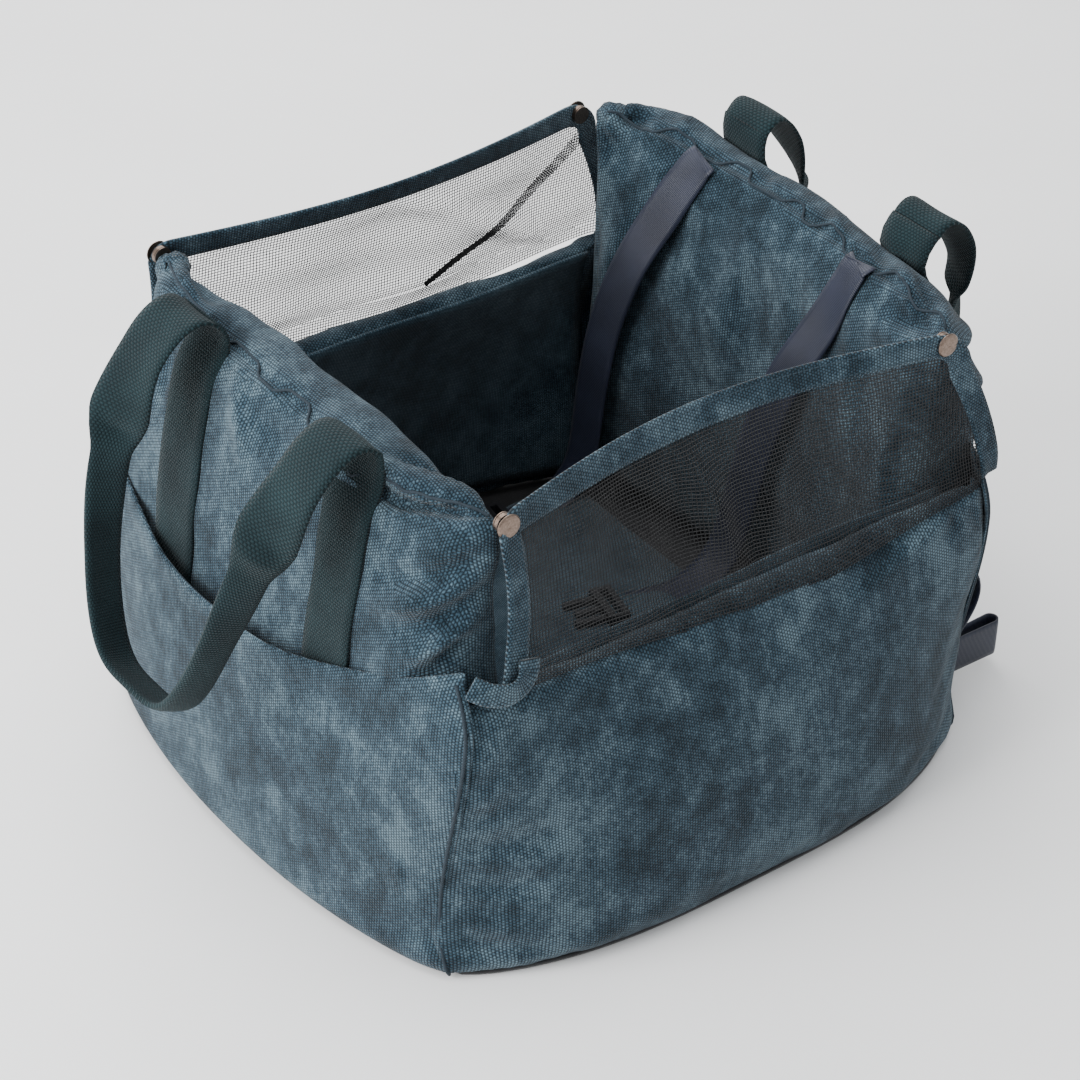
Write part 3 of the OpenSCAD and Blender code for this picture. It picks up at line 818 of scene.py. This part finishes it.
def pocket_grid(side, rows=44, cols=96):
    u = np.linspace(-1, 1, cols)
    grid = np.zeros((cols, rows, 3))
    for i, a in enumerate(u):
        for j, f in enumerate(np.linspace(0, 1, rows)):
            top = float(pocket_top(a * corner_y(170)))
            z = 4 + (top - 4) * f
            y = a * corner_y(min(z, 200))
            x = float(side_x(side, y, z))
            slack = 3.0 * math.sin(3.1 * a + 1.2) * f ** 3 * (1 - a * a)
            sag = 1.6 * math.sin(9 * a + 4 * f) * (1 - a * a) * f
            grid[i, j] = (side * (x + slack + sag), y, z)
    return grid


def pocket(side, name):
    """Pocket panel with a folded hem along its mouth."""
    grid = pocket_grid(side)
    thick = np.full(grid.shape[1], CLOTH_T)
    thick[-4:] = CLOTH_T + 1.2
    thick[-1] = CLOTH_T
    piece = sheet_mesh(name, grid[::-1] if side < 0 else grid, thick[None, :])
    piece.modifiers.new("Fine", "SUBSURF").levels = 1
    settle(piece)
    return piece, grid


# ---- Mesh flaps ----
def flap_right(v):
    return FLAP_RIGHT - (FLAP_RIGHT - 144) * v ** 1.6


def flap_left(v):
    return FLAP_LEFT + 5 * np.sin(np.pi * np.clip(v, 0, 1)) - 4 * (1 - v) ** 6


def seam_z(x):
    """Height where a flap is sewn to its panel: it dips towards the middle."""
    return 187 - 14 * np.exp(-((x - 25) / 95) ** 2)


FLAP_BOW = {-1: 28.0, 1: 21.0}


def flap_point(face, x, z):
    """Point on a flap; below its hinge line it runs down onto the panel."""
    v = np.clip((z - FLAP_LOW) / FLAP_H, 0, 1.02)
    u = np.clip((x - flap_left(v)) / (flap_right(v) - flap_left(v)), 0, 1)
    y = -HINGE[1] - 10 * v - FLAP_BOW[face] * np.sin(np.pi * u) * v ** 1.3
    inside = smoothstep((u - 0.04) / 0.16) * smoothstep((0.96 - u) / 0.16) * smoothstep((0.9 - v) / 0.25)
    if face < 0:
        lean = 30 * (v - 0.5)
        pleat = np.exp(-((x + 22 + lean) / 9) ** 2) - 0.6 * np.exp(-((x + 2 + lean) / 12) ** 2)
        y = y + inside * (5 * pleat + 2.2 * np.sin(x / 17 + 3 * v) + 1.2 * np.sin(x / 7.5 - 5 * v))
    else:
        across = (x - 62) * 0.55 + (z - 235) * 0.83
        slack = 2 * np.sin(x / 21 - 2 * v) + np.sin(z / 6 + x / 40)
        y = y - inside * (6 * np.exp(-(across / 9) ** 2) + slack)
    low = end_y(x, seam_z(x)) + 0.9
    join = smoothstep((z - seam_z(x)) / 26)
    return np.stack([x, face * (low + (y - low) * join), z], -1)


def flap_edge(n=46, corner_left=13.0, corner_right=24.0):
    """The flap's outline in its own plane: up the left side, along the top and down the right side."""
    left = [(flap_left(v), FLAP_LOW + FLAP_H * v) for v in np.linspace(0.0, 1 - corner_left / FLAP_H, n // 3)]
    right = [(flap_right(v), FLAP_LOW + FLAP_H * v)
             for v in np.linspace(1 - corner_right / FLAP_H, 0.0, n // 3)]
    top = FLAP_LOW + FLAP_H
    x0, x1 = left[-1][0], right[0][0]
    turn = np.linspace(0, math.pi / 2, 9)[1:]
    left += [(x0 + corner_left * (1 - math.cos(a)), top - corner_left * (1 - math.sin(a))) for a in turn]
    over = [(x, top) for x in np.linspace(x0 + corner_left, x1 - corner_right - 4, n)[1:]]
    over += [(x1 - (corner_right + 4) * (1 - math.sin(a)), top - corner_right * (1 - math.cos(a)))
             for a in turn]
    return np.array(left + over + right[1:])


def flap_binding(face, name):
    """Folded tape round three sides of a flap."""
    edge_line = flap_edge()
    tangent = unit(np.gradient(edge_line, axis=0))
    inward = np.stack([tangent[:, 1], -tangent[:, 0]], 1)
    rows = []
    for d in np.linspace(0, BINDING_W, 7):
        p = edge_line + inward * d
        rows.append(flap_point(face, p[:, 0], p[:, 1]))
    grid = np.stack(rows, 1)
    s = np.linspace(-1, 1, 7)
    piece = sheet_mesh(name, grid if face < 0 else grid[:, ::-1], (2.3 - 0.6 * np.abs(s) ** 6)[None, :])
    rows = [edge_line + inward * d for d in (2.6, BINDING_W - 2.4)]
    lines = [flap_point(face, p[:, 0], p[:, 1]) + np.array([0, face * 1.15, 0]) for p in rows]
    return piece, lines


# Where the slack net of the back flap lies doubled, as x and z of its two ends
DOUBLED = [(141, 266), (30, 196)]


def flap_net(face, name):
    """Knitted net as crossing threads, from the panel seam up under the binding."""
    inset = BINDING_W - 4
    lines = []
    top = FLAP_LOW + FLAP_H - inset
    for x in np.arange(FLAP_LEFT + inset, FLAP_RIGHT - inset, NET_PITCH):
        drop = max(0.0, (FLAP_RIGHT - inset - x) / (FLAP_RIGHT - 144))
        high = min(top, FLAP_LOW + FLAP_H * min(1.0, drop ** (1 / 1.6)))
        low = float(seam_z(x))
        if high - low > 6:
            z = np.linspace(low, high, max(4, int((high - low) / 5)))
            lines.append(flap_point(face, np.full_like(z, x), z))
    for z in np.arange(FLAP_LOW + 3, top, NET_PITCH):
        v = (z - FLAP_LOW) / FLAP_H
        x = np.linspace(flap_left(v) + inset, flap_right(v) - inset, 66)
        lines.append(flap_point(face, x, np.full_like(x, z)))
    for lift in np.arange(0.5, 17, NET_PITCH):
        x = np.linspace(FLAP_LEFT + inset, FLAP_RIGHT - inset, 66)
        z = seam_z(x) + lift
        keep = z < FLAP_LOW + 2
        if keep.sum() > 4:
            lines.append(flap_point(face, x[keep], z[keep]))
    if face > 0:
        t = np.linspace(0, 1, 40)
        for off in np.arange(-4.5, 4.6, 1.5):
            x = DOUBLED[0][0] + (DOUBLED[1][0] - DOUBLED[0][0]) * t + 0.55 * off * (1 - 0.5 * t)
            z = DOUBLED[0][1] + (DOUBLED[1][1] - DOUBLED[0][1]) * t - 0.83 * off * (1 - 0.5 * t)
            doubled = flap_point(face, x, z - 5 * np.sin(math.pi * t)) - np.array([0, 2.5, 0])
            for _ in range(30):
                doubled[1:-1] = (doubled[:-2] + 2 * doubled[1:-1] + doubled[2:]) / 4
            lines.append(doubled)
    return tubes(name, lines, NET_R, 3)


def hem_tail(face, name):
    """Foot of the left binding, turned outwards and sewn along the top of the panel to its corner seam."""
    path = curve([(-153, -179, 206), (-155, -181, 199), (-161, -183, 194), (-170, -183.5, 193),
                  (-180, -181, 196), (-188, -176, 201)], 30)
    path[:, 1] *= -face
    tangent = unit(np.gradient(path, axis=0))
    return band(name, path, np.stack([-tangent[:, 2], np.zeros(30), tangent[:, 0]], 1), BINDING_W - 1, 2.4)


# ---- Straps inside ----
STRAP_ROUTE = {
    "rear_tether": [(163, 77, 291), (157, 79, 284), (151, 82, 271), (146, 90, 245), (141, 103, 215),
                    (137, 116, 180), (135, 126, 145), (133, 131, 110), (131, 133, 78), (129, 134, 56),
                    (123, 134, 40), (108, 133, 30), (90, 130, 29), (68, 126, 29)],
    "front_tether": [(163, -67, 291), (157, -65, 284), (151, -63, 271), (147, -58, 245),
                     (143, -46, 215), (140, -32, 180), (140, -20, 145), (140, -11, 110), (139, -5, 78),
                     (136, -1, 56),
                     (127, 2, 40), (108, 5, 30), (90, 9, 29), (68, 14, 29)],
}


def strap(name):
    """Grosgrain strap that lies on the wall at its top and hangs free below."""
    route = curve(STRAP_ROUTE[name], 90)
    along = unit(np.gradient(route, axis=0))
    turn = 0.25 * np.sin(np.linspace(0, math.pi, 90))
    laid, widths = route.copy(), np.stack([0.1 - turn, np.ones(90), 0.2 * turn], 1)
    for k, p in enumerate(route):
        spot, normal, _, _ = WALLS[1].find_nearest(Vector(p * MM))
        near = np.array(spot) / MM + np.array(normal) * 2.0
        share = float(smoothstep((p[2] - 200) / 60))
        across = unit(np.cross(np.array(normal), along[k]))
        laid[k] = p * (1 - share) + near * share
        widths[k] = unit(widths[k] * (1 - share) + across * np.sign(across[1]) * share)
    for _ in range(6):
        laid[1:-1] = (laid[:-2] + 2 * laid[1:-1] + laid[2:]) / 4
        widths[1:-1] = (widths[:-2] + 2 * widths[1:-1] + widths[2:]) / 4
    return band(name + "_strap", laid, widths, STRAP_W, STRAP_T, crown=0.5)


# ---- Build ----
sew_wall(-1, "left_wall_pad")
sew_wall(1, "right_wall_pad")

for side, label in ((-1, "left"), (1, "right")):
    runs = [webbing_run(side, y, f"{label}_webbing_{where}")
            for y, where in ((HANDLE_Y, "rear"), (-HANDLE_Y, "front"))]
    for number, piece in enumerate(runs):
        dress(piece, WEBBING, "bag", "webbing", *([f"{label}_wall_webbing"] if number == 0 else []))
    dress(handle(side, f"{label}_handle"), WEBBING, f"{label}_handle", "webbing", f"{label}_handle")
    panel, grid = pocket(side, f"{label}_pocket_panel")
    dress(panel, CHENILLE, "bag", "chenille", f"{label}_pocket")
    box_uv(panel)

for face, label in ((-1, "front"), (1, "back")):
    pad = end_pad(face, f"{label}_panel_pad")
    box_uv(pad)
    dress(pad, CHENILLE, "bag", "chenille", f"{label}_panel", f"{label}_panel_foam", f"{label}_hem")
    inside = lining_face(face, f"{label}_lining_face")
    dress(inside, LINING, "bag", "lining", f"{label}_lining")

    binding, rows = flap_binding(face, f"{label}_flap_binding")
    dress(binding, CHENILLE, f"{label}_flap", "chenille", f"{label}_mesh_binding")
    dress(hem_tail(face, f"{label}_binding_foot"), CHENILLE, "bag", "chenille")
    sewn = stitches(f"{label}_binding_stitches", rows)
    dress(sewn, THREAD, f"{label}_flap", "chenille")
    net = flap_net(face, f"{label}_net")
    net.data.materials.append(NET)
    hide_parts(f"{label}_mesh")
    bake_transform(net)
    for part in ("snap_caps", "snap_sockets", "snap_studs"):
        node = frame["nodes"][f"{label}_{part}"]
        node.data.materials.clear()
        node.data.materials.append(METAL)

# Painted shadow: dark tubes down the four lower corner seams stand for the shade where the cloth is drawn in.
for side in (-1, 1):
    for face in (-1, 1):
        z = np.linspace(3, 200, 50)
        line = np.stack([side * (corner_x(side, z) - 2.2), face * (corner_y(z) - 2.2), z], 1)
        name = f"{'left' if side < 0 else 'right'}_{'front' if face < 0 else 'back'}_seam"
        dress(tubes(name, [line], 1.0, 8, (side, 0, 0)), PAINTED_SEAM_SHADOW, "bag", "chenille")

# Floor pad
rim = []
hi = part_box("floor_pad")[1]
half_x, half_y, r = hi[0] / MM, hi[1] / MM, 30.0
for down, inset in ((19, 8), (15, 4), (9, 3), (5, 5), (2.5, 10)):
    turn = np.linspace(0, 2 * math.pi, 96, endpoint=False)
    cx, cy = np.sign(np.cos(turn)) * (half_x - r), np.sign(np.sin(turn)) * (half_y - r)
    rim.append(np.stack([cx + (r - inset) * np.cos(turn), cy + (r - inset) * np.sin(turn),
                         np.full(96, PAD_TOP - down)], 1))
floor_pad = stuff(loft("floor_cushion", rim), 6.0, 5.0, keep=(0, 1))
box_uv(floor_pad)
dress(floor_pad, LINING, "bag", "lining", "floor_pad")

# Bottom cloth, turned up a little at its edge
u, v = np.meshgrid(np.linspace(-1, 1, 61), np.linspace(-1, 1, 61), indexing="ij")
turned = np.maximum(np.abs(u), np.abs(v)) ** 14
x = u * np.where(u < 0, side_x(-1, v * corner_y(3), 3.0), side_x(1, v * corner_y(3), 3.0))
y = v * end_y(x * 0.985, np.full_like(x, 3.0))
bottom = sheet_mesh("base_cloth", np.stack([0.985 * x, 0.985 * y, 1.3 + 0.8 * turned], -1), 2.2)
dress(bottom, BASE_CLOTH, "bag", "base_cloth", "base_fabric")
frame["nodes"]["base_board"].data.materials.clear()
frame["nodes"]["base_board"].data.materials.append(BOARD)

# Straps in the cabin and their buckles
for name in STRAP_ROUTE:
    piece = strap(name)
    piece.data.materials.append(GROSGRAIN)
    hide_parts(name)
    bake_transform(piece)
    buckle = frame["nodes"][name + "_buckle"]
    buckle.data.materials.clear()
    buckle.data.materials.append(PLASTIC)
    rounded = buckle.modifiers.new("Rounded", "BEVEL")
    rounded.width = 0.0008
    rounded.segments = 2

# Outside of the right wall: bowed strap and loop tab
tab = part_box("loop_tab")
tab_low, tab_high = np.array(tab[0]) / MM, np.array(tab[1]) / MM
tab_mid, tab_half = (tab_low[1] + tab_high[1]) / 2, (tab_high[1] - tab_low[1]) / 2 - STRAP_T / 2 - 0.4
start_x, turn_x = side_x(1, tab_mid, 20) - 1, tab_high[0] - tab_half - 1
path = [(x, tab_mid - tab_half * (0.75 + 0.25 * (x - start_x) / (turn_x - start_x)))
        for x in np.linspace(start_x, turn_x, 12)]
path += [(turn_x + tab_half * math.sin(a), tab_mid - tab_half * math.cos(a))
         for a in np.linspace(0.2, math.pi - 0.2, 12)]
path += [(x, 2 * tab_mid - y) for x, y in path[11::-1]]
centres = [(x, y, (tab_low[2] + tab_high[2]) / 2) for x, y in path]
tab_piece = band("loop_tab_ribbon", centres, [(0, 0, 1)] * len(centres), STRAP_W, STRAP_T)
dress(tab_piece, GROSGRAIN, "bag", "grosgrain", "loop_tab")

low, high = (np.array(corner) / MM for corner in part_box("side_strap"))
run = np.array([0.25, 0.97, 0])
root = np.array([side_x(1, 130, 60) + STRAP_T, (low[1] + high[1]) / 2, 0])
centres = [root + (high[0] - root[0] - 4) * math.sin(math.pi * f) * np.array([1, 0, 0])
           + np.array([0, 0, low[2] + (high[2] - low[2]) * f]) for f in np.linspace(0, 1, 30)]
side_piece = band("side_strap_ribbon", centres, [run] * 30, STRAP_W, STRAP_T)
dress(side_piece, GROSGRAIN, "bag", "grosgrain", "side_strap")


# ---- Stage, light and camera ----
def studio():
    corners = [(-1, -1, 0), (1, -1, 0), (1, 1, 0), (-1, 1, 0)]
    floor = mesh_object("floor", np.array(corners) * 9000.0, [(0, 1, 2, 3)])
    floor.data.materials.append(PALE)
    world = bpy.data.worlds.new("studio")
    bpy.context.scene.world = world
    world.use_nodes = True
    world.node_tree.nodes["Background"].inputs[0].default_value = (0.96, 0.98, 1.0, 1)
    world.node_tree.nodes["Background"].inputs[1].default_value = 1.0
    for name, place, size, power in (("key", (-2.3, 0.3, 1.1), 1.8, 112), ("back", (0.6, 2.2, 1.8), 2.0, 40),
                                     ("top", (-0.3, 0.2, 2.6), 2.4, 54)):
        light = bpy.data.lights.new(name, "AREA")
        light.energy, light.size = power, size
        lamp = bpy.data.objects.new(name, light)
        lamp.location = place
        lamp.rotation_euler = (Vector((0, 0, 0.12)) - Vector(place)).to_track_quat("-Z", "Y").to_euler()
        bpy.context.scene.collection.objects.link(lamp)


def photo_camera(place, azimuth, elevation, roll, lens):
    """Camera in millimetres and degrees: azimuth 0 looks along +Y."""
    a, e, r = math.radians(azimuth), math.radians(elevation), math.radians(roll)
    back = Vector((math.sin(a) * math.cos(e), -math.cos(a) * math.cos(e), math.sin(e)))
    right = Vector((0, 0, 1)).cross(back).normalized()
    up = back.cross(right)
    turned = right * math.cos(r) + up * math.sin(r), up * math.cos(r) - right * math.sin(r), back
    camera = bpy.data.objects.new("camera", bpy.data.cameras.new("camera"))
    rows = [(*[v[k] for v in turned], place[k] * MM) for k in range(3)]
    camera.matrix_world = Matrix(rows + [(0, 0, 0, 1)])
    camera.data.lens = lens
    camera.data.sensor_width = 36
    camera.data.clip_end = 100
    bpy.context.scene.collection.objects.link(camera)
    bpy.context.scene.camera = camera


studio()
photo_camera((-951.0, -1206.4, 1195.1), -38.0, 35.11, 1.51, 106.7)
